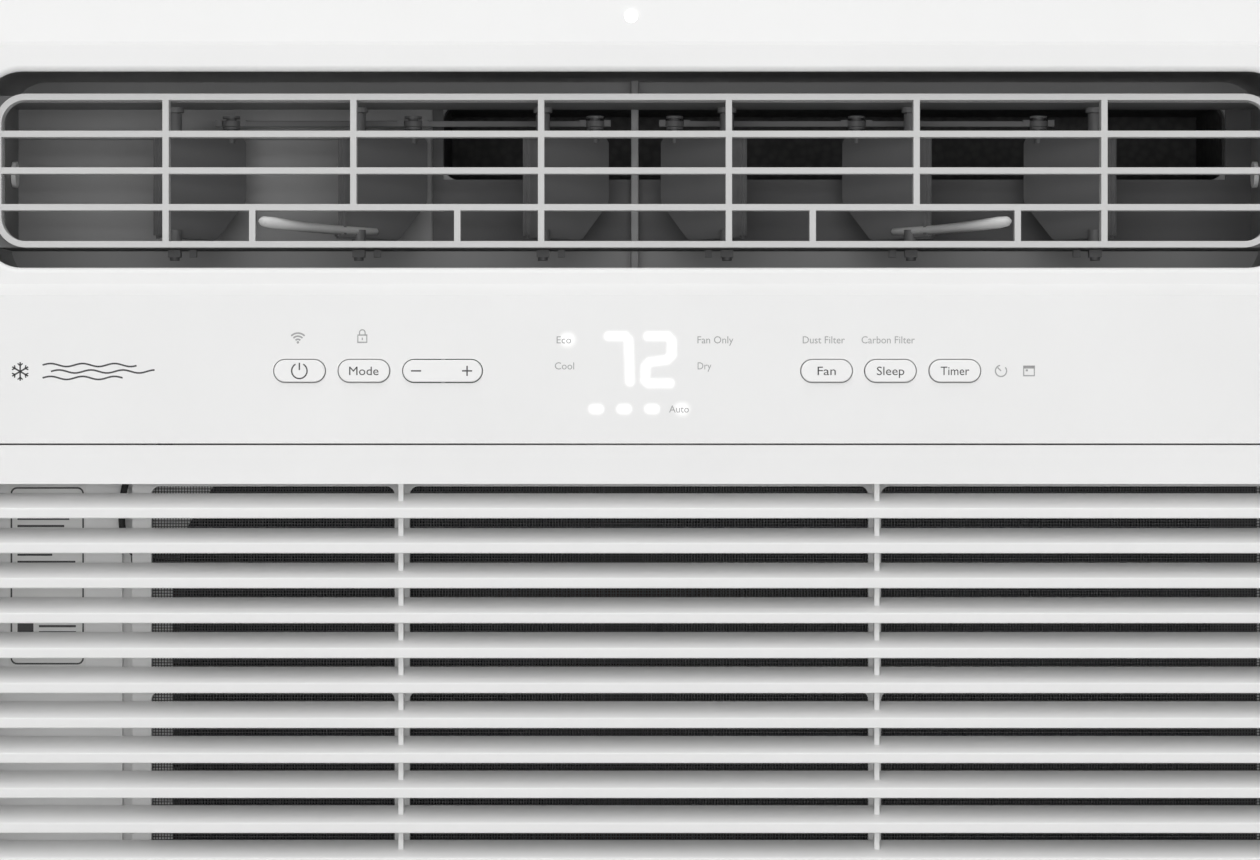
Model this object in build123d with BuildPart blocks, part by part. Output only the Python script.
from build123d import *
import os
from math import cos, pi, radians, sin, tan

# Window air conditioner, in millimetres. +Z is up and the front faces -Y.
# The origin is on the ground under the middle of the base.

# ---- overall size -------------------------------------------------------
HALF_WIDTH = 250.0  # front panel, each side of the middle
FRONT_Y = -280.0  # plane of the control face and of the door's front
GUARD_BACK_Y = 281.0  # rearmost face, on the condenser guard
PANEL_TOP_Z = 376.0
PANEL_BACK_Y = -222.0
PANEL_WALL = 2.6
CORNER_RADIUS = 9.0  # front panel and door, seen from above

# ---- control face and door seam -----------------------------------------
SEAM_Z = 205.6
SEAM_GAP = 0.6
LEDGE_Z = 258.6  # where the control face steps back under the outlet
BAND_Y = -276.0  # plane of the band around the air outlet
CREASE_Z = 348.3  # where the band ends and the forehead leans back

# ---- air outlet and louver cassette -------------------------------------
OUTLET_Z = 303.8
OUTLET_HALF_WIDTH = 234.0
OUTLET_HALF_HEIGHT = 35.2
OUTLET_RADIUS = 14.0
HOUSING_WALL = 2.0
HOUSING_HALF_HEIGHT = 37.5
HOUSING_FRONT_Y = -273.3
HOUSING_BACK_Y = -203.0
TILT_Y = -246.0
RING_HALF_WIDTH = 230.4
RING_HALF_HEIGHT = 27.7
RING_FRONT_Y = -269.0
BAR = 2.3
BAR_DEPTH = 6.5
BAR_PITCH = 13.2
RIB_PITCH = 67.6
SHORT_RIB_X = (64.0, 137.8)
VANE_PITCH = RIB_PITCH
VANE_Y = -240.0
VANE_ANGLE = 48.0
VANE_BOTTOM_Z = 280.4
VANE_TOP_Z = 324.0
VANE_FRONT = 9.0
VANE_REAR = 32.0
VANE_THICKNESS = 1.6
PIVOT_RADIUS = 1.8
RUNNING_GAP = 0.05
LINK_ARM = 25.6
LINK_PIN_RADIUS = 1.5
LEVER_LENGTH = 45.2

# ---- intake door ---------------------------------------------------------
DOOR_BOTTOM_Z = 8.0
DOOR_BACK_Y = -266.0
DOOR_WALL = 2.5
FIELD_HALF_WIDTH = 236.0
FIELD_TOP_Z = 191.1
FIELD_BOTTOM_Z = 25.0
SLAT_COUNT = 13
SLAT_PITCH = 12.5
FIRST_SLAT_Z = 182.4
SLAT_FRONT_Y = -279.5
SLAT_DEPTH = 13.0
SLAT_RISE = 5.2
SLAT_FACE = 3.6
HINGE_Y = -268.0
HINGE_Z = 14.0
HINGE_PIN_RADIUS = 2.0

# ---- filter --------------------------------------------------------------
FILTER_LEFT_X = -181.8
FILTER_RIGHT_X = 249.4
FILTER_FRONT_Y = -262.4
FILTER_BACK_Y = -256.6
FILTER_BOTTOM_Z = 40.0
FILTER_TOP_Z = 193.8
FILTER_COLUMNS = ((-174.9, -86.9), (-81.5, 84.4), (89.0, 238.0))
FILTER_ROWS = ((44.0, 115.8), (120.5, 190.0))
MESH_THICKNESS = 0.6

# ---- recessed wall behind the door ----------------------------------------
RECESS_FRONT_Y = -256.0
RECESS_BACK_Y = -253.4

# ---- controls --------------------------------------------------------------
BUTTON_Z = 231.5
BUTTON_SIZE = (18.2, 7.9)
BUTTON_PROUD = 1.0
BUTTON_GAP = 0.35
BUTTONS = {
    "power_button": -119.8,
    "mode_button": -96.8,
    "fan_button": 68.4,
    "sleep_button": 91.2,
    "timer_button": 114.2,
}
ROCKER_X = -68.75
ROCKER_SIZE = (28.2, 7.9)
ROCKER_PIN_Y = -275.2
ROCKER_SWITCH_OFFSET = 9.2
BOARD_FRONT_Y = -268.0
BOARD_THICKNESS = 1.6
SWITCH_TOP_Y = -271.0
STATUS_X = -1.4
STATUS_Z = 359.0
STATUS_RADIUS = 2.3

# ---- chassis and air system -------------------------------------------------
PAN_HALF_WIDTH = 242.0
PAN_FRONT_Y = -250.0
PAN_BACK_Y = 272.0
SHEET = 1.2
WRAPPER_HALF_WIDTH = 244.0
WRAPPER_TOP_Z = 366.0
WRAPPER_FRONT_Y = -232.0
WRAPPER_BACK_Y = 274.0
SHAFT_X = 25.0
SHAFT_Z = 142.0
SHAFT_RADIUS = 4.0
WHEEL_RADIUS = 75.0
WHEEL_FRONT_Y = -190.0
WHEEL_BACK_Y = -135.0
SCROLL_FRONT_Y = -198.0
SCROLL_BACK_Y = -130.2
SCROLL_RADIUS = 95.0
NECK_X = (-72.0, 222.0)  # discharge opening from the scroll into the outlet
NECK_Z = (304.5, 333.0)
BULKHEAD_Y = -124.0
FAN_RADIUS = 118.0
FAN_Y = 188.0
SHROUD_Y = 212.0
EVAPORATOR_X = (-166.0, 212.0)
EVAPORATOR_Y = (-250.0, -212.0)
EVAPORATOR_Z = (16.0, 200.0)
CONDENSER_X = (-210.0, 210.0)
CONDENSER_Y = (236.0, 262.0)
CONDENSER_Z = (10.0, 354.0)
TUBE_FIT = 0.05
COMPRESSOR_X = -150.0
COMPRESSOR_Y = 90.0
COMPRESSOR_RADIUS = 55.0
ACCUMULATOR_Y = 8.0
DRILL_RADIUS = 2.0  # clearance hole for the cabinet screws
SCREW_RADIUS = 1.9


def front_plane(y):
    """The plane at y that faces the front: local x is +X and local y is +Z."""
    return Plane((0, y, 0), x_dir=(1, 0, 0), z_dir=(0, -1, 0))


def side_plane(x):
    """The plane at x that faces +X: local x is +Y and local y is +Z."""
    return Plane((x, 0, 0), x_dir=(0, 1, 0), z_dir=(1, 0, 0))


def block(x, y, z, mode=Mode.ADD):
    """A box from three (low, high) pairs."""
    middle = ((x[0] + x[1]) / 2, (y[0] + y[1]) / 2, (z[0] + z[1]) / 2)
    with Locations(middle):
        Box(x[1] - x[0], y[1] - y[0], z[1] - z[0], mode=mode)


def round_bar(start, direction, length, radius, mode=Mode.ADD):
    """A cylinder from start along direction."""
    with BuildSketch(Plane(start, z_dir=direction)) as section:
        Circle(radius)
    extrude(section.sketch, amount=length, mode=mode)


def front_plate(y, thickness, x, z, radius=0.0, mode=Mode.ADD):
    """A rectangular plate that faces the front, from y back by thickness."""
    with BuildSketch(front_plane(y)) as outline:
        with Locations(((x[0] + x[1]) / 2, (z[0] + z[1]) / 2)):
            if radius > 0:
                RectangleRounded(x[1] - x[0], z[1] - z[0], radius)
            else:
                Rectangle(x[1] - x[0], z[1] - z[0])
    extrude(outline.sketch, amount=-thickness, mode=mode)


def pill_plate(y, thickness, x, z, size, mode=Mode.ADD):
    """A plate with round ends that faces the front."""
    with BuildSketch(front_plane(y)) as outline:
        with Locations((x, z)):
            SlotOverall(size[0], size[1])
    extrude(outline.sketch, amount=-thickness, mode=mode)


def profile_bar(points, x0, x1, mode=Mode.ADD):
    """A bar along X with a polygonal section given as (y, z) points."""
    with BuildSketch(side_plane(x0)) as section:
        with BuildLine():
            Polyline(*points, close=True)
        make_face()
    extrude(section.sketch, amount=x1 - x0, mode=mode)


def rounded_plan(half_width, y_front, y_back, radius, z0, z1, mode):
    """A prism seen from above as a rectangle with two rounded front corners."""
    with BuildSketch(Plane.XY.offset(z0)) as plan:
        with Locations((0, (y_front + y_back) / 2)):
            Rectangle(2 * half_width, y_back - y_front)
        fillet(plan.vertices().group_by(Axis.Y)[0], radius=radius)
    extrude(plan.sketch, amount=z1 - z0, mode=mode)


def tube_path(points, radius):
    """A path of straight runs joined by tangent arcs of one radius."""
    with BuildLine() as path:
        FilletPolyline(*points, radius=radius)
    return path


def sweep_tube(path, radius, mode=Mode.ADD):
    """A round tube along a path."""
    start = path.wires()[0]
    with BuildSketch(Plane(start @ 0, z_dir=start % 0)) as section:
        Circle(radius)
    sweep(section.sketch, path=start, mode=mode)


def save(part, name):
    """Label a finished piece and write its file."""
    part.label = name
    export_step(part, f"parts/{name}.step")


os.makedirs("parts", exist_ok=True)


# ==== front panel ==========================================================

def panel_profile(inset):
    """Section of the upper front panel, moved in by inset, as (y, z) points."""
    lean = 0.21
    top = PANEL_TOP_Z - inset
    crease_y = BAND_Y + 1.1 + inset
    shoulder_z = PANEL_TOP_Z - 7.0
    shoulder_y = crease_y + lean * (shoulder_z - CREASE_Z)
    return [
        (PANEL_BACK_Y, SEAM_Z + inset),
        (FRONT_Y + inset, SEAM_Z + inset),
        (FRONT_Y + inset, LEDGE_Z),
        (BAND_Y + inset, LEDGE_Z + 4.0),
        (BAND_Y + inset, CREASE_Z),
        (crease_y, CREASE_Z + 1.1),
        (shoulder_y, shoulder_z),
        (shoulder_y + 2.2, top - 2.6),
        (shoulder_y + 6.0, top),
        (PANEL_BACK_Y, top),
    ]


def recess_opening():
    """The air opening in the recessed wall, with one cut corner and a slot for the sensor lead."""
    left, right, bottom, top = -168.0, 226.0, 42.0, 192.0
    with BuildSketch(front_plane(RECESS_FRONT_Y - 1)) as opening:
        with BuildLine():
            Polyline(
                (left, bottom),
                (right, bottom),
                (right, top),
                (-152.0, top),
                (left, 167.0),
                close=True,
            )
        make_face()
        with Locations((-175.0, 162.0)):
            Rectangle(16.0, 12.0)
    extrude(opening.sketch, amount=-(RECESS_BACK_Y - RECESS_FRONT_Y + 2), mode=Mode.SUBTRACT)


CATCH_X = 150.0
CATCH_Z = 199.5
EAR_X = (235.0, 240.0)
COVER_SCREWS = ((-236.0, 32.0), (-236.0, 196.0))

with BuildPart() as front_panel:
    profile_bar(panel_profile(0.0), -HALF_WIDTH, HALF_WIDTH)
    block((-HALF_WIDTH, HALF_WIDTH), (DOOR_BACK_Y + 0.7, PANEL_BACK_Y), (4.0, SEAM_Z + 1))
    rounded_plan(HALF_WIDTH, FRONT_Y, PANEL_BACK_Y, CORNER_RADIUS, 0.0, PANEL_TOP_Z + 1, Mode.INTERSECT)
    inside = HALF_WIDTH - PANEL_WALL
    profile_bar(panel_profile(PANEL_WALL), -inside, inside, Mode.SUBTRACT)
    block((-inside, inside), (-268.0, PANEL_BACK_Y), (SEAM_Z - 1, SEAM_Z + PANEL_WALL + 1), Mode.SUBTRACT)
    block((-inside, inside), (-270.0, PANEL_BACK_Y), (3.0, SEAM_Z), Mode.SUBTRACT)
    front_plate(RECESS_FRONT_Y, RECESS_BACK_Y - RECESS_FRONT_Y, (-inside - 1, inside + 1), (4.0, SEAM_Z))
    recess_opening()
    front_plate(-257, 5, (-239.0, -195.0), (36.0, 192.0), 3.0, Mode.SUBTRACT)
    for side in (-1, 1):
        # Ears that carry the door's hinge pins, and a notch the door's lower edge turns into.
        low, high = sorted((side * EAR_X[0], side * EAR_X[1]))
        block((low, high), (HINGE_Y - 4.0, RECESS_FRONT_Y), (HINGE_Z - 4.0, HINGE_Z + 4.0))
        low, high = sorted((side * (inside - 1), side * (HALF_WIDTH + 1)))
        block((low, high), (-267.0, -257.0), (3.0, 27.0), Mode.SUBTRACT)
        with Locations((side * CATCH_X, (RECESS_FRONT_Y + RECESS_BACK_Y) / 2, CATCH_Z)):
            Box(15.0, 10.0, 3.4, mode=Mode.SUBTRACT)
    pin_hole = HINGE_PIN_RADIUS + RUNNING_GAP
    round_bar((-HALF_WIDTH, HINGE_Y, HINGE_Z), (1, 0, 0), 2 * HALF_WIDTH, pin_hole, Mode.SUBTRACT)
    # The filter slides out through a slot in the right-hand side.
    block(
        (inside - 1, HALF_WIDTH + 1),
        (FILTER_FRONT_Y - 0.6, FILTER_BACK_Y + 0.6),
        (FILTER_BOTTOM_Z - 0.7, FILTER_TOP_Z + 0.7),
        Mode.SUBTRACT,
    )
    # Two rails that the filter runs on.
    for rail_low in (FILTER_BOTTOM_Z - 2.6, FILTER_TOP_Z + 0.6):
        block((-178.0, inside + 1), (-261.0, RECESS_FRONT_Y), (rail_low, rail_low + 2.0))
    front_plate(
        BAND_Y - 1,
        PANEL_WALL + 4,
        (-OUTLET_HALF_WIDTH, OUTLET_HALF_WIDTH),
        (OUTLET_Z - OUTLET_HALF_HEIGHT, OUTLET_Z + OUTLET_HALF_HEIGHT),
        OUTLET_RADIUS,
        Mode.SUBTRACT,
    )
    outlet_rim = front_panel.edges().filter_by_position(Axis.Y, BAND_Y - 0.01, BAND_Y + 0.01)
    outlet_rim = outlet_rim.filter_by_position(Axis.Z, OUTLET_Z - 36.0, OUTLET_Z + 36.0)
    outlet_rim = outlet_rim.filter_by_position(Axis.X, -235.0, 235.0)
    fillet(outlet_rim, radius=2.2)
    for button_x in BUTTONS.values():
        hole = (BUTTON_SIZE[0] + 2 * BUTTON_GAP, BUTTON_SIZE[1] + 2 * BUTTON_GAP)
        pill_plate(FRONT_Y - 1, PANEL_WALL + 2, button_x, BUTTON_Z, hole, Mode.SUBTRACT)
    rocker_hole = (ROCKER_SIZE[0] + 2 * BUTTON_GAP, ROCKER_SIZE[1] + 2 * BUTTON_GAP)
    pill_plate(FRONT_Y - 1, PANEL_WALL + 2, ROCKER_X, BUTTON_Z, rocker_hole, Mode.SUBTRACT)
    for lug_z in (BUTTON_Z - 8.4, BUTTON_Z + 6.4):
        lug_y = (FRONT_Y + PANEL_WALL - 0.5, ROCKER_PIN_Y + 2.0)
        block((ROCKER_X - 2.0, ROCKER_X + 2.0), lug_y, (lug_z, lug_z + 2.0))
    round_bar((ROCKER_X, ROCKER_PIN_Y, BUTTON_Z - 9.0), (0, 0, 1), 18.0, 0.8 + RUNNING_GAP, Mode.SUBTRACT)
    # Pocket from behind that leaves a thin skin in front of the display.
    front_plate(FRONT_Y + 0.7, PANEL_WALL, (-36.0, 42.0), (212.0, 250.0), 2.0, Mode.SUBTRACT)
    round_bar((STATUS_X, -290.0, STATUS_Z), (0, 1, 0), 30.0, STATUS_RADIUS + RUNNING_GAP, Mode.SUBTRACT)
    for screw_x, screw_z in COVER_SCREWS:
        round_bar((screw_x, -258.0, screw_z), (0, 1, 0), 6.0, SCREW_RADIUS + RUNNING_GAP, Mode.SUBTRACT)
save(front_panel.part, "front_panel")


# ==== intake door ============================================================

def slat_profile(crease_z):
    """Section of one slat: a short front face and an upper face that climbs backwards."""
    y = SLAT_FRONT_Y
    return [
        (y, crease_z - 0.5),
        (y + 0.15, crease_z),
        (y + 0.7, crease_z + 0.45),
        (y + SLAT_DEPTH, crease_z + SLAT_RISE),
        (y + SLAT_DEPTH, crease_z + SLAT_RISE - 1.6),
        (y + 2.4, crease_z - SLAT_FACE + 0.9),
        (y + 0.9, crease_z - SLAT_FACE),
        (y + 0.3, crease_z - SLAT_FACE + 0.3),
    ]


LUG_X = (228.0, 234.0)

with BuildPart() as intake_grille:
    top_z = SEAM_Z - SEAM_GAP
    block((-HALF_WIDTH, HALF_WIDTH), (FRONT_Y, DOOR_BACK_Y), (DOOR_BOTTOM_Z, top_z))
    rounded_plan(HALF_WIDTH, FRONT_Y, DOOR_BACK_Y, CORNER_RADIUS, 0.0, 300.0, Mode.INTERSECT)
    rounded_plan(
        HALF_WIDTH - DOOR_WALL,
        FRONT_Y + DOOR_WALL,
        DOOR_BACK_Y + 1,
        CORNER_RADIUS - DOOR_WALL,
        DOOR_BOTTOM_Z + DOOR_WALL,
        top_z - DOOR_WALL,
        Mode.SUBTRACT,
    )
    cheek = 2.4
    collar_x = (-FIELD_HALF_WIDTH - cheek, FIELD_HALF_WIDTH + cheek)
    block(collar_x, (FRONT_Y + 0.5, DOOR_BACK_Y - 0.5), (FIELD_BOTTOM_Z - 2, FIELD_TOP_Z + 2))
    block(
        (-FIELD_HALF_WIDTH, FIELD_HALF_WIDTH),
        (FRONT_Y - 1, DOOR_BACK_Y + 1),
        (FIELD_BOTTOM_Z, FIELD_TOP_Z),
        Mode.SUBTRACT,
    )
    for slat in range(SLAT_COUNT):
        section = slat_profile(FIRST_SLAT_Z - slat * SLAT_PITCH)
        profile_bar(section, -FIELD_HALF_WIDTH - 1, FIELD_HALF_WIDTH + 1)
    for rib_x in (-84.0, 86.8):
        block((rib_x - 0.9, rib_x + 0.9), (-273.5, DOOR_BACK_Y - 0.5), (FIELD_BOTTOM_Z - 1, FIELD_TOP_Z + 1))
    for side in (-1, 1):
        low, high = sorted((side * (EAR_X[0] - 1), side * (EAR_X[1] + 1)))
        block((low, high), (-275.0, DOOR_BACK_Y + 1), (DOOR_BOTTOM_Z - 1, FIELD_BOTTOM_Z - 3), Mode.SUBTRACT)
        low, high = sorted((side * LUG_X[0], side * LUG_X[1]))
        block((low, high), (FRONT_Y + 2, -264.0), (DOOR_BOTTOM_Z + 1.5, HINGE_Z + 4))
        # Tongue that snaps into the front panel and keeps the door shut.
        low, high = sorted((side * (CATCH_X - 7), side * (CATCH_X + 7)))
        block((low, high), (FRONT_Y + 2, -254.5), (CATCH_Z - 1, CATCH_Z + 1))
    pin_hole = HINGE_PIN_RADIUS + RUNNING_GAP
    round_bar((-HALF_WIDTH + 5, HINGE_Y, HINGE_Z), (1, 0, 0), 490.0, pin_hole, Mode.SUBTRACT)
save(intake_grille.part, "intake_grille")

with BuildPart() as door_hinge_pins:
    for start_x in (-240.5, 227.5):
        round_bar((start_x, HINGE_Y, HINGE_Z), (1, 0, 0), 13.0, HINGE_PIN_RADIUS)
save(door_hinge_pins.part, "door_hinge_pins")


# ==== filter ====================================================================

with BuildPart() as filter_frame:
    front_plate(
        FILTER_FRONT_Y,
        FILTER_BACK_Y - FILTER_FRONT_Y,
        (FILTER_LEFT_X, FILTER_RIGHT_X),
        (FILTER_BOTTOM_Z, FILTER_TOP_Z),
        1.5,
    )
    for column in FILTER_COLUMNS:
        for row in FILTER_ROWS:
            front_plate(FILTER_FRONT_Y - 1, 8.0, column, row, 3.0, Mode.SUBTRACT)
save(filter_frame.part, "filter_frame")

with BuildPart() as filter_mesh:
    mesh_y = (FILTER_FRONT_Y + FILTER_BACK_Y - MESH_THICKNESS) / 2
    for column in FILTER_COLUMNS:
        for row in FILTER_ROWS:
            front_plate(mesh_y, MESH_THICKNESS, column, row, 3.0)
save(filter_mesh.part, "filter_mesh")


# ==== controls ====================================================================

def build_button(button_x):
    """A pill-shaped key cap with a flange behind the panel and a stem to its switch."""
    with BuildPart() as button:
        pill_plate(FRONT_Y - BUTTON_PROUD, 4.0, button_x, BUTTON_Z, BUTTON_SIZE)
        rim = button.faces().sort_by(Axis.Y)[0].edges()
        fillet(rim, radius=0.45)
        flange = (BUTTON_SIZE[0] + 2.4, BUTTON_SIZE[1] + 2.4)
        pill_plate(FRONT_Y + PANEL_WALL + 0.1, 1.1, button_x, BUTTON_Z, flange)
        stem_y = (-276.8, SWITCH_TOP_Y - 1.1)
        block((button_x - 1.5, button_x + 1.5), stem_y, (BUTTON_Z - 1.5, BUTTON_Z + 1.5))
    return button.part


for button_name, button_x in BUTTONS.items():
    save(build_button(button_x), button_name)

with BuildPart() as temperature_rocker:
    pill_plate(FRONT_Y - BUTTON_PROUD, 5.6, ROCKER_X, BUTTON_Z, ROCKER_SIZE)
    fillet(temperature_rocker.faces().sort_by(Axis.Y)[0].edges(), radius=0.45)
    for offset in (-ROCKER_SWITCH_OFFSET, ROCKER_SWITCH_OFFSET):
        block(
            (ROCKER_X + offset - 1.5, ROCKER_X + offset + 1.5),
            (-276.0, SWITCH_TOP_Y - 0.7),
            (BUTTON_Z - 1.5, BUTTON_Z + 1.5),
        )
    block((ROCKER_X - 2.2, ROCKER_X + 2.2), (-276.6, ROCKER_PIN_Y + 2.2), (BUTTON_Z - 3.9, BUTTON_Z + 3.9))
    round_bar((ROCKER_X, ROCKER_PIN_Y, BUTTON_Z - 9.0), (0, 0, 1), 18.0, 0.8 + RUNNING_GAP, Mode.SUBTRACT)
save(temperature_rocker.part, "temperature_rocker")

with BuildPart() as rocker_pin:
    round_bar((ROCKER_X, ROCKER_PIN_Y, BUTTON_Z - 8.6), (0, 0, 1), 17.2, 0.8)
save(rocker_pin.part, "rocker_pin")

with BuildPart() as control_board:
    front_plate(BOARD_FRONT_Y, BOARD_THICKNESS, (-150.0, 150.0), (211.0, 256.0), 2.0)
save(control_board.part, "control_board")

switch_places = [(x, BUTTON_Z) for x in BUTTONS.values()]
switch_places += [(ROCKER_X - ROCKER_SWITCH_OFFSET, BUTTON_Z), (ROCKER_X + ROCKER_SWITCH_OFFSET, BUTTON_Z)]
with BuildPart() as tact_switches:
    for switch_x, switch_z in switch_places:
        block((switch_x - 3, switch_x + 3), (-270.0, BOARD_FRONT_Y), (switch_z - 3, switch_z + 3))
        round_bar((switch_x, SWITCH_TOP_Y, switch_z), (0, 1, 0), 2.0, 1.7)
save(tact_switches.part, "tact_switches")

with BuildPart() as display_module:
    front_plate(-275.0, 6.9, (-35.0, 41.0), (213.0, 249.0), 1.5)
save(display_module.part, "display_module")

with BuildPart() as light_guide:
    front_plate(FRONT_Y + 0.75, 4.1, (-35.0, 41.0), (213.0, 249.0), 1.5)
save(light_guide.part, "light_guide")

with BuildPart() as status_light_lens:
    round_bar((STATUS_X, -272.85, STATUS_Z), (0, 1, 0), 6.0, STATUS_RADIUS)
    round_bar((STATUS_X, -269.0, STATUS_Z), (0, 1, 0), 6.0, STATUS_RADIUS + 1.5)
save(status_light_lens.part, "status_light_lens")


# ==== air outlet ==================================================================

with BuildPart() as outlet_housing:
    inner_x = OUTLET_HALF_WIDTH + 1.0
    z_low = OUTLET_Z - HOUSING_HALF_HEIGHT
    z_high = OUTLET_Z + HOUSING_HALF_HEIGHT
    depth = HOUSING_BACK_Y - HOUSING_FRONT_Y
    outer_x = inner_x + HOUSING_WALL
    front_plate(
        HOUSING_FRONT_Y,
        depth,
        (-outer_x, outer_x),
        (z_low - HOUSING_WALL, z_high + HOUSING_WALL),
        OUTLET_RADIUS + HOUSING_WALL,
    )
    inner = (-inner_x, inner_x)
    front_plate(HOUSING_FRONT_Y - 1, depth - 1, inner, (z_low, z_high), OUTLET_RADIUS, Mode.SUBTRACT)
    front_plate(HOUSING_BACK_Y - 5, 10.0, NECK_X, NECK_Z, 6.0, Mode.SUBTRACT)
    block((-inner_x, NECK_X[0] - 6.0), (HOUSING_BACK_Y - 3.2, HOUSING_BACK_Y), (319.6, 321.2))
    block((-1.4, 1.4), (HOUSING_BACK_Y - 8.0, HOUSING_BACK_Y), (z_low - 1, z_high + 1))
    round_bar((-250.0, TILT_Y, OUTLET_Z), (1, 0, 0), 500.0, 3.4 + RUNNING_GAP, Mode.SUBTRACT)
save(outlet_housing.part, "outlet_housing")

ring_low = OUTLET_Z - RING_HALF_HEIGHT
ring_high = OUTLET_Z + RING_HALF_HEIGHT

with BuildPart() as louver_grille:
    with BuildSketch(front_plane(RING_FRONT_Y)) as grille_face:
        with Locations((0, OUTLET_Z)):
            RectangleRounded(2 * RING_HALF_WIDTH, 2 * RING_HALF_HEIGHT, 11.0)
            RectangleRounded(
                2 * (RING_HALF_WIDTH - BAR), 2 * (RING_HALF_HEIGHT - BAR), 11.0 - BAR, mode=Mode.SUBTRACT
            )
        for row in (-1, 0, 1):
            with Locations((0, OUTLET_Z + row * BAR_PITCH)):
                Rectangle(2 * RING_HALF_WIDTH - BAR, BAR)
        for place in (-2.5, -0.5, 0.5, 2.5):
            with Locations((place * RIB_PITCH, OUTLET_Z)):
                Rectangle(BAR, 2 * RING_HALF_HEIGHT - BAR)
        for place in (-1.5, 1.5):
            with Locations((place * RIB_PITCH, OUTLET_Z + BAR_PITCH / 2 + BAR / 4)):
                Rectangle(BAR, 2 * RING_HALF_HEIGHT - BAR_PITCH - BAR)
        for short_x in SHORT_RIB_X:
            for side in (-1, 1):
                with Locations((side * short_x, OUTLET_Z - 1.5 * BAR_PITCH - 0.6)):
                    Rectangle(BAR, BAR_PITCH)
    extrude(grille_face.sketch, amount=-BAR_DEPTH)
save(louver_grille.part, "louver_grille")

CARRIER_FRONT_Y = RING_FRONT_Y + BAR_DEPTH
CARRIER_BACK_Y = -231.0
RAIL = 2.4

with BuildPart() as louver_carrier:
    carrier_x = (-RING_HALF_WIDTH + 0.4, RING_HALF_WIDTH - 0.4)
    for rail_z in (ring_low + 0.3, ring_high - RAIL - 0.3):
        block(carrier_x, (CARRIER_FRONT_Y + 0.05, CARRIER_BACK_Y), (rail_z, rail_z + RAIL))
    for side in (-1, 1):
        low, high = sorted((side * (RING_HALF_WIDTH - 0.4), side * (RING_HALF_WIDTH - 2.6)))
        block((low, high), (CARRIER_FRONT_Y + 0.05, CARRIER_BACK_Y), (ring_low + 0.3, ring_high - 0.3))
    for place in range(6):
        vane_x = (place - 2.5) * VANE_PITCH
        round_bar((vane_x, VANE_Y, ring_high - 4.6), (0, 0, 1), 3.0, 3.4)
        pivot_hole = PIVOT_RADIUS + RUNNING_GAP
        round_bar((vane_x, VANE_Y, ring_low - 1.0), (0, 0, 1), 60.0, pivot_hole, Mode.SUBTRACT)
    round_bar((-250.0, TILT_Y, OUTLET_Z), (1, 0, 0), 500.0, 3.4 + RUNNING_GAP, Mode.SUBTRACT)
save(louver_carrier.part, "louver_carrier")

with BuildPart() as louver_pivot_pins:
    for side in (-1, 1):
        round_bar((side * 237.5, TILT_Y, OUTLET_Z), (-side, 0, 0), 10.0, 3.4)
        round_bar((side * 227.5, TILT_Y, OUTLET_Z), (-side, 0, 0), 1.6, 4.8)
save(louver_pivot_pins.part, "louver_pivot_pins")


def vane_plane(vane_x, side):
    """Plane of a vane: local x runs backwards along the blade and local y is +Z."""
    run = (-side * sin(radians(VANE_ANGLE)), cos(radians(VANE_ANGLE)), 0)
    normal = (run[1], -run[0], 0)
    return Plane((vane_x, VANE_Y, 0), x_dir=run, z_dir=normal)


def along_vane(vane_x, side, distance):
    """Point at a distance behind the pivot of a vane."""
    return (vane_x - side * distance * sin(radians(VANE_ANGLE)), VANE_Y + distance * cos(radians(VANE_ANGLE)))


def build_lever(vane_x, side):
    """A finger lever clipped to the foot of the vane, rising and widening like a spoon to its tip."""
    stations = (
        (9.3, 283.4, 1.6, 1.3),
        (20.0, 282.9, 2.0, 1.3),
        (30.0, 283.6, 3.0, 1.5),
        (39.0, 284.8, 3.6, 1.8),
        (LEVER_LENGTH - 1.5, 285.6, 2.8, 1.4),
        (LEVER_LENGTH, 285.7, 1.2, 0.6),
    )
    run = (side * sin(radians(VANE_ANGLE)), -cos(radians(VANE_ANGLE)), 0)
    across = (run[1], -run[0], 0)
    with BuildPart() as lever:
        sections = []
        for distance, height, half_width, half_thickness in stations:
            x, y = along_vane(vane_x, side, -distance)
            with BuildSketch(Plane((x, y, height), x_dir=across, z_dir=run)) as section:
                Ellipse(half_width, half_thickness)
            sections.append(section.sketch)
        loft(sections)
    return lever.part


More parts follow.
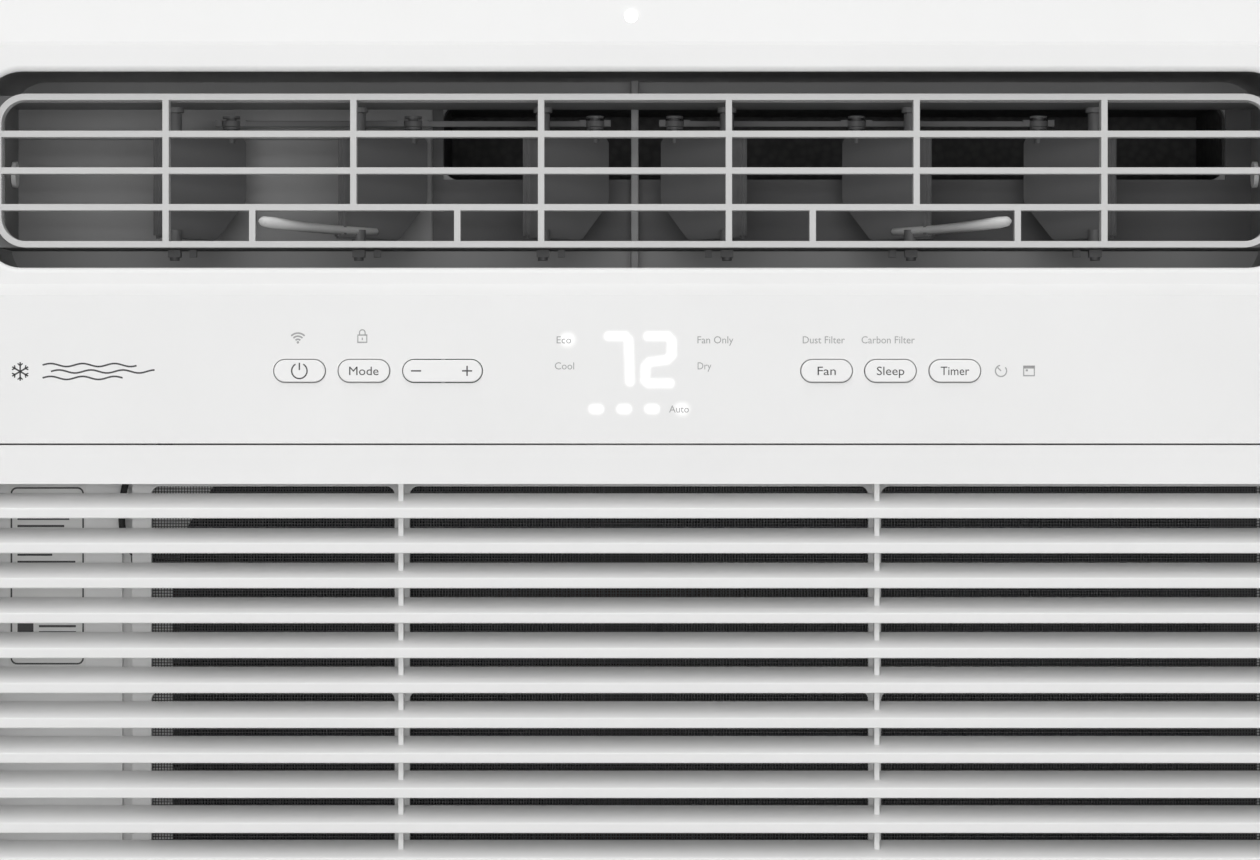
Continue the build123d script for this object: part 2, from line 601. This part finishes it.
def build_vane(vane_x, side):
    """One upright vane with its bead, pivots and link pin, turned to its rest angle."""
    with BuildPart() as vane:
        with BuildSketch(vane_plane(vane_x, side)) as blade:
            with BuildLine():
                Polyline(
                    (-VANE_FRONT, VANE_BOTTOM_Z),
                    (VANE_REAR - 14.0, VANE_BOTTOM_Z),
                    (VANE_REAR, VANE_BOTTOM_Z + 15.0),
                    (VANE_REAR, VANE_TOP_Z - 4.0),
                    (-VANE_FRONT, VANE_TOP_Z - 4.0),
                    close=True,
                )
            make_face()
            fillet(blade.vertices(), radius=2.5)
        extrude(blade.sketch, amount=VANE_THICKNESS / 2, both=True)
        with BuildSketch(vane_plane(vane_x, side)) as bead:
            with Locations((-VANE_FRONT + 1.5, (VANE_BOTTOM_Z + VANE_TOP_Z - 4.0) / 2)):
                RectangleRounded(3.4, VANE_TOP_Z - VANE_BOTTOM_Z - 4.0, 1.6)
        extrude(bead.sketch, amount=1.7, both=True)
        round_bar((vane_x, VANE_Y, VANE_TOP_Z - 30.0), (0, 0, 1), 32.5, 2.6)
        round_bar((vane_x, VANE_Y, ring_low - 2.2), (0, 0, 1), 20.0, 2.6)
        round_bar((vane_x, VANE_Y, ring_low - 3.5), (0, 0, 1), 10.0, PIVOT_RADIUS)
        round_bar((vane_x, VANE_Y, VANE_TOP_Z), (0, 0, 1), 6.6, PIVOT_RADIUS)
        with BuildSketch(Plane.XY.offset(ring_low - 2.5)) as foot_gap:
            with Locations((vane_x, VANE_Y)):
                Circle(12.0)
                Circle(PIVOT_RADIUS, mode=Mode.SUBTRACT)
        extrude(foot_gap.sketch, amount=5.3, mode=Mode.SUBTRACT)
        pin_x, pin_y = along_vane(vane_x, side, LINK_ARM)
        round_bar((pin_x, pin_y, VANE_TOP_Z - 7.0), (0, 0, 1), 9.2, LINK_PIN_RADIUS)
    return vane.part


VANES = (("outer", 2.5), ("middle", 1.5), ("inner", 0.5))

for side, side_name in ((-1, "left"), (1, "right")):
    for vane_name, place in VANES:
        vane_part = build_vane(side * place * VANE_PITCH, side)
        save(vane_part, f"vane_{side_name}_{vane_name}")
    save(build_lever(side * 1.5 * VANE_PITCH, side), f"vane_lever_{side_name}")
    # The link bar hangs on the middle vane's pin; the outer two pins have room in their holes.
    with BuildPart() as link_bar:
        pins = [along_vane(side * place * VANE_PITCH, side, LINK_ARM) for _, place in VANES]
        middle_x, pin_y = pins[1]
        bar_z = VANE_TOP_Z - 1.0
        block(
            (middle_x - VANE_PITCH - 4, middle_x + VANE_PITCH + 4),
            (pin_y - 1.2, pin_y + 1.2),
            (bar_z, bar_z + 2.2),
        )
        for pin_x, _ in pins:
            round_bar((pin_x, pin_y, bar_z), (0, 0, 1), 2.2, 3.6)
            hole = LINK_PIN_RADIUS + (RUNNING_GAP if pin_x == middle_x else 0.3)
            round_bar((pin_x, pin_y, bar_z - 1), (0, 0, 1), 5.0, hole, Mode.SUBTRACT)
    save(link_bar.part, f"link_bar_{side_name}")


# ==== chassis ======================================================================

def screw_holes_in_sides(half_width, depth):
    """Side holes for the cabinet screws."""
    for screw_y in SIDE_SCREWS_Y:
        for side in (-1, 1):
            start = (side * (half_width + 1), screw_y, SIDE_SCREWS_Z)
            round_bar(start, (-side, 0, 0), depth, DRILL_RADIUS, Mode.SUBTRACT)


SIDE_SCREWS_Y = (-180.0, -40.0, 100.0, 240.0)
SIDE_SCREWS_Z = 14.0
RAIL_SCREWS_X = (-180.0, -60.0, 60.0, 180.0)
RAIL_Y = (-112.0, -94.0)
FOOT_X = 200.0
FOOT_Y = (-190.0, 210.0)
GROMMET_Y = -160.0
GROMMET_Z = 46.0
FEET_TURNS = [radians(turn) for turn in (30, 150, 270)]
COMPRESSOR_FEET = [(COMPRESSOR_X + 62 * cos(turn), COMPRESSOR_Y + 62 * sin(turn)) for turn in FEET_TURNS]

with BuildPart() as base_pan:
    wall_x = (-PAN_HALF_WIDTH, PAN_HALF_WIDTH)
    block(wall_x, (PAN_FRONT_Y, PAN_BACK_Y), (0.0, 26.0))
    inner_wall = PAN_HALF_WIDTH - SHEET
    block((-inner_wall, inner_wall), (PAN_FRONT_Y + SHEET, PAN_BACK_Y - SHEET), (1.5, 30.0), Mode.SUBTRACT)
    block((-300.0, 300.0), (PAN_FRONT_Y - 1, PAN_FRONT_Y + SHEET), (12.0, 30.0), Mode.SUBTRACT)
    screw_holes_in_sides(PAN_HALF_WIDTH, 6.0)
    for foot_y in FOOT_Y:
        for foot_x in (-FOOT_X, FOOT_X):
            round_bar((foot_x, foot_y, -1.0), (0, 0, 1), 4.0, 3.5, Mode.SUBTRACT)
    round_bar((120.0, 225.0, -1.0), (0, 0, 1), 4.0, 6.5, Mode.SUBTRACT)
    for foot_x, foot_y in COMPRESSOR_FEET:
        round_bar((foot_x, foot_y, 1.0), (0, 0, 1), 19.0, 3.0)
save(base_pan.part, "base_pan")


def louvre_slots(plane, columns, rows, slot_length):
    """A field of stamped slots on a sheet, cut right through."""
    with BuildSketch(plane) as slots:
        with GridLocations(columns[1], rows[1], columns[0], rows[0]):
            SlotOverall(slot_length, 3.4)
    extrude(slots.sketch, amount=4.0, both=True, mode=Mode.SUBTRACT)


with BuildPart() as cabinet_wrapper:
    block(
        (-WRAPPER_HALF_WIDTH, WRAPPER_HALF_WIDTH),
        (WRAPPER_FRONT_Y, WRAPPER_BACK_Y),
        (2.0, WRAPPER_TOP_Z),
    )
    fillet(cabinet_wrapper.edges().filter_by(Axis.Y).group_by(Axis.Z)[-1], radius=4.0)
    block(
        (-WRAPPER_HALF_WIDTH + SHEET, WRAPPER_HALF_WIDTH - SHEET),
        (WRAPPER_FRONT_Y - 1, WRAPPER_BACK_Y + 1),
        (1.0, WRAPPER_TOP_Z - SHEET),
        Mode.SUBTRACT,
    )
    screw_holes_in_sides(WRAPPER_HALF_WIDTH, 6.0)
    for side in (-1, 1):
        for column_y in (105.0, 175.0):
            place = (side * WRAPPER_HALF_WIDTH, column_y, 190.0)
            plane = Plane(place, x_dir=(0, side, 0), z_dir=(side, 0, 0))
            louvre_slots(plane, (1, 60.0), (18, 14.0), 56.0)
    for column_x in (-120.0, 0.0, 120.0):
        louvre_slots(Plane((column_x, 140.0, WRAPPER_TOP_Z)), (1, 100.0), (8, 14.0), 90.0)
    for screw_x in RAIL_SCREWS_X:
        round_bar((screw_x, sum(RAIL_Y) / 2, 360.0), (0, 0, 1), 10.0, DRILL_RADIUS, Mode.SUBTRACT)
    round_bar((-260.0, GROMMET_Y, GROMMET_Z), (1, 0, 0), 40.0, 9.0, Mode.SUBTRACT)
save(cabinet_wrapper.part, "cabinet_wrapper")

with BuildPart() as condenser_guard:
    guard_z = (30.0, 358.0)
    back_plane = Plane((0, WRAPPER_BACK_Y + 0.2, 0), x_dir=(-1, 0, 0), z_dir=(0, 1, 0))
    with BuildSketch(back_plane) as guard:
        middle_z = sum(guard_z) / 2
        with Locations((0, middle_z)):
            RectangleRounded(484.0, guard_z[1] - guard_z[0], 8.0)
            with GridLocations(26.0, 12.6, 17, 24):
                RectangleRounded(23.4, 10.2, 1.2, mode=Mode.SUBTRACT)
    extrude(guard.sketch, amount=2.4)
    with BuildSketch(back_plane) as border:
        with Locations((0, middle_z)):
            RectangleRounded(484.0, guard_z[1] - guard_z[0], 8.0)
            RectangleRounded(450.0, guard_z[1] - guard_z[0] - 22.0, 5.0, mode=Mode.SUBTRACT)
    extrude(border.sketch, amount=GUARD_BACK_Y - WRAPPER_BACK_Y - 0.2)
save(condenser_guard.part, "condenser_guard")

with BuildPart() as top_sash_rail:
    block((-236.0, 236.0), RAIL_Y, (WRAPPER_TOP_Z, WRAPPER_TOP_Z + 1.5))
    block((-236.0, 236.0), (RAIL_Y[1] - 1.5, RAIL_Y[1]), (WRAPPER_TOP_Z, WRAPPER_TOP_Z + 20.0))
    for screw_x in RAIL_SCREWS_X:
        round_bar((screw_x, sum(RAIL_Y) / 2, 360.0), (0, 0, 1), 12.0, DRILL_RADIUS, Mode.SUBTRACT)
    for screw_x in (-120.0, 120.0):
        round_bar((screw_x, -90.0, WRAPPER_TOP_Z + 12.0), (0, -1, 0), 10.0, 2.5, Mode.SUBTRACT)
save(top_sash_rail.part, "top_sash_rail")


def pan_head_screw(seat, direction):
    """A pan-head sheet-metal screw whose head rests on seat and points along direction."""
    round_bar(seat, direction, 2.0, 3.6)
    inward = tuple(-part for part in direction)
    round_bar(seat, inward, 8.0, SCREW_RADIUS)


with BuildPart() as cabinet_screws:
    for screw_y in SIDE_SCREWS_Y:
        for side in (-1, 1):
            pan_head_screw((side * WRAPPER_HALF_WIDTH, screw_y, SIDE_SCREWS_Z), (side, 0, 0))
    for screw_x in RAIL_SCREWS_X:
        pan_head_screw((screw_x, sum(RAIL_Y) / 2, WRAPPER_TOP_Z + 1.5), (0, 0, 1))
    for screw_x, screw_z in COVER_SCREWS:
        pan_head_screw((screw_x, -259.2, screw_z), (0, -1, 0))
save(cabinet_screws.part, "cabinet_screws")

with BuildPart() as bulkhead:
    block((-239.5, 239.5), (BULKHEAD_Y, BULKHEAD_Y + SHEET), (1.7, 364.0))
    block((-239.5, 239.5), (BULKHEAD_Y, BULKHEAD_Y + 14.0), (1.7, 2.9))
    round_bar((SHAFT_X, -130.0, SHAFT_Z), (0, 1, 0), 12.0, 14.0, Mode.SUBTRACT)
    round_bar((-160.0, -130.0, 251.0), (0, 1, 0), 12.0, 9.0, Mode.SUBTRACT)
    round_bar((-172.0, -130.0, 24.0), (0, 1, 0), 12.0, 4.0, Mode.SUBTRACT)
save(bulkhead.part, "bulkhead")


# ==== electrics ======================================================================

BOX_X = (-239.8, -192.5)
BOX_Y = (-250.6, -130.0)
BOX_Z = (30.0, 198.0)

with BuildPart() as control_box:
    block(BOX_X, BOX_Y, BOX_Z)
    block(
        (BOX_X[0] + SHEET, BOX_X[1] - SHEET),
        (BOX_Y[0] - 1, BOX_Y[1] - SHEET),
        (BOX_Z[0] + SHEET, BOX_Z[1] - SHEET),
        Mode.SUBTRACT,
    )
    round_bar((-260.0, GROMMET_Y, GROMMET_Z), (1, 0, 0), 25.0, 8.0, Mode.SUBTRACT)
save(control_box.part, "control_box")

with BuildPart() as control_box_cover:
    front_plate(-259.2, 3.0, (-246.5, -185.8), (28.0, 202.0), 3.0)
    for screw_x, screw_z in COVER_SCREWS:
        round_bar((screw_x, -262.0, screw_z), (0, 1, 0), 12.0, SCREW_RADIUS + RUNNING_GAP, Mode.SUBTRACT)
save(control_box_cover.part, "control_box_cover")

# Parts on the power board: place along Y, height and size.
BOARD_PARTS = ((-222.0, 60.0, 16.0), (-198.0, 60.0, 16.0), (-215.0, 160.0, 26.0), (-160.0, 90.0, 20.0))

with BuildPart() as power_board:
    block((-198.0, -196.4), (-240.0, -136.0), (40.0, 190.0))
    for part_y, part_z, size in BOARD_PARTS:
        half = size / 2
        block((-198.0 - size, -198.0), (part_y - half, part_y + half), (part_z - half, part_z + half))
save(power_board.part, "power_board")

with BuildPart() as run_capacitor:
    round_bar((-218.5, -160.0, 108.0), (0, 0, 1), 62.0, 19.0)
    for offset in (-6.0, 6.0):
        round_bar((-218.5, -160.0 + offset, 108.0), (0, 0, 1), 72.0, 1.5)
save(run_capacitor.part, "run_capacitor")

with BuildPart() as cord_grommet:
    round_bar((-247.0, GROMMET_Y, GROMMET_Z), (1, 0, 0), 3.0, 12.0)
    round_bar((-247.0, GROMMET_Y, GROMMET_Z), (1, 0, 0), 12.0, 7.9)
    round_bar((-248.0, GROMMET_Y, GROMMET_Z), (1, 0, 0), 14.0, 4.5, Mode.SUBTRACT)
save(cord_grommet.part, "cord_grommet")


# ==== fan system ========================================================================

with BuildPart() as blower_scroll:
    with BuildSketch(front_plane(SCROLL_FRONT_Y)) as body:
        with Locations((27.5, 138.0)):
            RectangleRounded(245.0, 248.0, 20.0)
        with Locations((74.0, 298.0)):
            Rectangle(308.0, 92.0)
    extrude(body.sketch, amount=-(SCROLL_BACK_Y - SCROLL_FRONT_Y))
    with BuildSketch(front_plane(SCROLL_FRONT_Y + 4.0)) as cavity:
        with Locations((SHAFT_X, SHAFT_Z)):
            Circle(SCROLL_RADIUS)
        with BuildLine():
            Polyline(
                (-70.0, 142.0),
                (120.0, 142.0),
                (222.0, 272.0),
                (222.0, 334.0),
                (-72.0, 334.0),
                (-72.0, 260.0),
                close=True,
            )
        make_face()
    extrude(cavity.sketch, amount=-80.0, mode=Mode.SUBTRACT)
    round_bar((SHAFT_X, -205.0, SHAFT_Z), (0, 1, 0), 20.0, 62.0, Mode.SUBTRACT)
    front_plate(-205.0, 15.0, NECK_X, NECK_Z, 6.0, Mode.SUBTRACT)
save(blower_scroll.part, "blower_scroll")

with BuildPart() as scroll_back:
    front_plate(-130.0, 5.4, (-80.0, 228.0), (14.5, 344.0), 6.0)
    round_bar((SHAFT_X, -135.0, SHAFT_Z), (0, 1, 0), 12.0, 12.0, Mode.SUBTRACT)
save(scroll_back.part, "scroll_back")

with BuildPart() as blower_wheel:
    wheel_plane = Plane((SHAFT_X, WHEEL_BACK_Y, SHAFT_Z), x_dir=(1, 0, 0), z_dir=(0, -1, 0))
    with BuildSketch(wheel_plane) as back_disc:
        Circle(WHEEL_RADIUS)
        Circle(SHAFT_RADIUS + 0.02, mode=Mode.SUBTRACT)
    extrude(back_disc.sketch, amount=2.0)
    with BuildSketch(wheel_plane) as blades:
        with PolarLocations(WHEEL_RADIUS - 7.0, 36):
            Rectangle(13.0, 1.4, rotation=35)
    extrude(blades.sketch, amount=WHEEL_BACK_Y - WHEEL_FRONT_Y)
    with BuildSketch(wheel_plane.offset(WHEEL_BACK_Y - WHEEL_FRONT_Y - 3.0)) as front_ring:
        Circle(WHEEL_RADIUS)
        Circle(WHEEL_RADIUS - 12.5, mode=Mode.SUBTRACT)
    extrude(front_ring.sketch, amount=3.0)
    with BuildSketch(wheel_plane) as hub:
        Circle(14.0)
        Circle(SHAFT_RADIUS + 0.02, mode=Mode.SUBTRACT)
    extrude(hub.sketch, amount=30.0)
save(blower_wheel.part, "blower_wheel")

with BuildPart() as motor_shaft:
    round_bar((SHAFT_X, -170.0, SHAFT_Z), (0, 1, 0), 372.0, SHAFT_RADIUS)
save(motor_shaft.part, "motor_shaft")

with BuildPart() as fan_motor:
    round_bar((SHAFT_X, -22.0, SHAFT_Z), (0, 1, 0), 92.0, 50.0)
    fillet(fan_motor.edges().filter_by(GeomType.CIRCLE), radius=8.0)
    round_bar((SHAFT_X, -36.0, SHAFT_Z), (0, 1, 0), 120.0, 13.0)
    round_bar((SHAFT_X, -60.0, SHAFT_Z), (0, 1, 0), 160.0, SHAFT_RADIUS + RUNNING_GAP, Mode.SUBTRACT)
save(fan_motor.part, "fan_motor")

with BuildPart() as motor_bracket:
    block((-35.0, 85.0), (-26.0, -22.6), (1.7, 170.0))
    block((-35.0, 85.0), (-26.0, 30.0), (1.7, 4.2))
    for rib_x in (-35.0, 82.0):
        block((rib_x, rib_x + 3.0), (-26.0, 20.0), (1.7, 60.0))
    round_bar((SHAFT_X, -40.0, SHAFT_Z), (0, 1, 0), 30.0, 14.5, Mode.SUBTRACT)
save(motor_bracket.part, "motor_bracket")

with BuildPart() as condenser_fan:
    fan_plane = Plane((SHAFT_X, FAN_Y, SHAFT_Z), x_dir=(1, 0, 0), z_dir=(0, -1, 0))
    round_bar((SHAFT_X, FAN_Y - 14.0, SHAFT_Z), (0, 1, 0), 26.0, 24.0)
    for blade in range(5):
        turn = radians(72.0 * blade)
        pitch = radians(24.0)
        reach = (cos(turn), 0, sin(turn))
        normal = (-sin(turn) * sin(pitch), -cos(pitch), cos(turn) * sin(pitch))
        with BuildSketch(Plane((SHAFT_X, FAN_Y, SHAFT_Z), x_dir=reach, z_dir=normal)) as outline:
            with BuildLine():
                Polyline((16.0, -14.0), (106.0, -28.0), (112.0, 4.0), (102.0, 32.0), (16.0, 14.0), close=True)
            make_face()
            fillet(outline.vertices(), radius=3.0)
        extrude(outline.sketch, amount=1.0, both=True)
    with BuildSketch(fan_plane.offset(-8.0)) as slinger:
        Circle(FAN_RADIUS)
        Circle(FAN_RADIUS - 8.0, mode=Mode.SUBTRACT)
    extrude(slinger.sketch, amount=12.0)
    round_bar((SHAFT_X, 150.0, SHAFT_Z), (0, 1, 0), 70.0, SHAFT_RADIUS + 0.02, Mode.SUBTRACT)
save(condenser_fan.part, "condenser_fan")

with BuildPart() as fan_shroud:
    block((-221.0, 221.0), (SHROUD_Y, SHROUD_Y + 2.0), (1.7, 356.0))
    round_bar((SHAFT_X, SHROUD_Y - 12.0, SHAFT_Z), (0, 1, 0), 14.0, FAN_RADIUS + 8.5)
    round_bar((SHAFT_X, SHROUD_Y - 20.0, SHAFT_Z), (0, 1, 0), 40.0, FAN_RADIUS + 6.0, Mode.SUBTRACT)
    for side in (-1, 1):
        low, high = sorted((side * 221.0, side * 219.0))
        block((low, high), (SHROUD_Y, CONDENSER_Y[0] - 1), (60.0, 356.0))
save(fan_shroud.part, "fan_shroud")


# ==== cooling circuit ===================================================================

def serpentine_points(x_left, x_right, y, z_values):
    """Corner points of a tube that runs back and forth along X, both ends on the left."""
    points = [(x_left + 10.0, y, z_values[0])]
    for index, z in enumerate(z_values):
        far_x = x_right if index % 2 == 0 else x_left
        points.append((far_x, y, z))
        if index + 1 < len(z_values):
            points.append((far_x, y, z_values[index + 1]))
    points[-1] = (x_left + 10.0, y, z_values[-1])
    return points


def fin_pack(x, y, z, tube_y, tube_zs, tube_radius):
    """A block of fins between two end plates, drilled for its tubes."""
    plate = 2.0
    with BuildPart() as pack:
        block((x[0] + plate, x[1] - plate), (y[0] + 0.6, y[1] - 0.6), (z[0] + 0.6, z[1] - 0.6))
        block((x[0], x[0] + plate), y, z)
        block((x[1] - plate, x[1]), y, z)
        for tube_z in tube_zs:
            hole = tube_radius + TUBE_FIT
            round_bar((x[0] - 5, tube_y, tube_z), (1, 0, 0), x[1] - x[0] + 10, hole, Mode.SUBTRACT)
    return pack.part


def serpentine_tube(x, tube_y, tube_zs, tube_radius, bend_radius, reach):
    """The tube that runs through a fin pack, with its return bends outside the end plates."""
    with BuildPart() as tubes:
        points = serpentine_points(x[0] - reach, x[1] + reach, tube_y, tube_zs)
        sweep_tube(tube_path(points, bend_radius), tube_radius)
    return tubes.part


EVAPORATOR_TUBE_Y = -231.0
EVAPORATOR_TUBE_Z = [30.0 + 30.0 * row for row in range(6)]
CONDENSER_TUBE_Y = 249.0
CONDENSER_TUBE_Z = [338.0 - 34.0 * row for row in range(10)]

save(
    fin_pack(EVAPORATOR_X, EVAPORATOR_Y, EVAPORATOR_Z, EVAPORATOR_TUBE_Y, EVAPORATOR_TUBE_Z, 4.0),
    "evaporator_coil",
)
save(serpentine_tube(EVAPORATOR_X, EVAPORATOR_TUBE_Y, EVAPORATOR_TUBE_Z, 4.0, 12.0, 13.5), "evaporator_tubes")
save(
    fin_pack(CONDENSER_X, CONDENSER_Y, CONDENSER_Z, CONDENSER_TUBE_Y, CONDENSER_TUBE_Z, 3.5),
    "condenser_coil",
)
save(serpentine_tube(CONDENSER_X, CONDENSER_TUBE_Y, CONDENSER_TUBE_Z, 3.5, 14.0, 16.0), "condenser_tubes")

with BuildPart() as compressor:
    round_bar((COMPRESSOR_X, COMPRESSOR_Y, 14.0), (0, 0, 1), 216.0, COMPRESSOR_RADIUS)
    fillet(compressor.edges().filter_by(GeomType.CIRCLE), radius=24.0)
    round_bar((COMPRESSOR_X, COMPRESSOR_Y, 225.0), (0, 0, 1), 12.0, 8.0)
    with BuildSketch(Plane.XY.offset(12.0)) as feet:
        with Locations(*COMPRESSOR_FEET):
            Circle(12.0)
        with Locations((COMPRESSOR_X, COMPRESSOR_Y)):
            Circle(50.0)
        make_hull()
    extrude(feet.sketch, amount=3.0)
    for foot_x, foot_y in COMPRESSOR_FEET:
        round_bar((foot_x, foot_y, 10.0), (0, 0, 1), 10.0, 5.6, Mode.SUBTRACT)
    # The accumulator stands in front of the compressor on a bracket welded to it.
    round_bar((COMPRESSOR_X, ACCUMULATOR_Y, 70.0), (0, 0, 1), 120.0, 20.0)
    block((COMPRESSOR_X - 10, COMPRESSOR_X + 10), (ACCUMULATOR_Y + 10, COMPRESSOR_Y - 40), (118.0, 128.0))
save(compressor.part, "compressor")

with BuildPart() as compressor_grommets:
    for foot_x, foot_y in COMPRESSOR_FEET:
        round_bar((foot_x, foot_y, 1.6), (0, 0, 1), 10.3, 9.0)
        round_bar((foot_x, foot_y, 1.6), (0, 0, 1), 16.0, 5.5)
        round_bar((foot_x, foot_y, 0.0), (0, 0, 1), 30.0, 3.05, Mode.SUBTRACT)
save(compressor_grommets.part, "compressor_grommets")

SUCTION_ROUTE = (
    (EVAPORATOR_X[0] - 3.6, EVAPORATOR_TUBE_Y, 180.0),
    (-184.0, EVAPORATOR_TUBE_Y, 180.0),
    (-184.0, -178.0, 180.0),
    (-160.0, -160.0, 250.0),
    (-160.0, -30.0, 252.0),
    (COMPRESSOR_X, ACCUMULATOR_Y, 250.0),
    (COMPRESSOR_X, ACCUMULATOR_Y, 190.1),
)
with BuildPart() as suction_line:
    sweep_tube(tube_path(SUCTION_ROUTE, 12.0), 4.8)
save(suction_line.part, "suction_line")

DISCHARGE_ROUTE = (
    (COMPRESSOR_X, COMPRESSOR_Y, 237.1),
    (COMPRESSOR_X, COMPRESSOR_Y, 290.0),
    (-190.0, 140.0, 300.0),
    (-231.0, 180.0, 320.0),
    (-231.0, CONDENSER_TUBE_Y, 338.0),
    (CONDENSER_X[0] - 6.1, CONDENSER_TUBE_Y, 338.0),
)
with BuildPart() as discharge_line:
    sweep_tube(tube_path(DISCHARGE_ROUTE, 8.0), 3.2)
save(discharge_line.part, "discharge_line")

CAPILLARY_ROUTE = (
    (CONDENSER_X[0] - 6.1, CONDENSER_TUBE_Y, CONDENSER_TUBE_Z[-1]),
    (-231.0, CONDENSER_TUBE_Y, 32.0),
    (-231.0, 40.0, 36.0),
    (-172.0, -60.0, 24.0),
    (-172.0, -180.0, 24.0),
    (-184.0, EVAPORATOR_TUBE_Y, 30.0),
    (EVAPORATOR_X[0] - 3.6, EVAPORATOR_TUBE_Y, 30.0),
)
with BuildPart() as capillary_tube:
    sweep_tube(tube_path(CAPILLARY_ROUTE, 8.0), 1.2)
    round_bar((-231.0, 40.0, 36.0), (0, 1, 0), 60.0, 7.0)
save(capillary_tube.part, "capillary_tube")


# ==== room sensor ===========================================================================

LEAD_RADIUS = 1.2
LEAD_ROUTE = (
    (-138.0, -263.5, 219.0),
    (-150.0, -263.0, 211.0),
    (-168.0, -262.6, 206.5),
    (-181.0, -262.2, 200.0),
    (-185.4, -262.0, 188.0),
    (-185.8, -261.8, 175.0),
    (-183.4, -259.0, 166.5),
    (-177.5, -254.8, 162.8),
    (-169.0, -253.0, 161.8),
    (-160.1, -252.8, 161.5),
)


def route_radii(route):
    """Largest arc for each corner: 0.45 of the shorter run over the tangent of half the turn."""
    radii = []
    for before, corner, after in zip(route, route[1:], route[2:]):
        arriving = Vector(*corner) - Vector(*before)
        leaving = Vector(*after) - Vector(*corner)
        half_turn = radians(arriving.get_angle(leaving)) / 2
        radii.append(0.45 * min(arriving.length, leaving.length) / tan(half_turn))
    return radii


lead_radii = route_radii(LEAD_ROUTE)
print("sensor lead radii", [round(radius, 1) for radius in lead_radii])
with BuildPart() as sensor_lead:
    with BuildLine() as lead_path:
        FilletPolyline(*LEAD_ROUTE, radius=lead_radii)
    sweep_tube(lead_path, LEAD_RADIUS)
lead_length = lead_path.wires()[0].length
print("sensor lead length", round(lead_length, 1))
print("sensor lead volume", round(sensor_lead.part.volume, 1))
print("section times length", round(pi * LEAD_RADIUS**2 * lead_length, 1))

# The bead in its clip stands in front of the cooling fins.
with BuildPart() as sensor_bead:
    round_bar((-160.0, -252.8, 161.5), (1, 0, 0), 16.0, 2.0)
    block((-152.0, -146.0), (-255.2, -250.3), (158.0, 165.0))
room_sensor = Compound(children=[sensor_lead.part, sensor_bead.part])
save(room_sensor, "room_sensor")
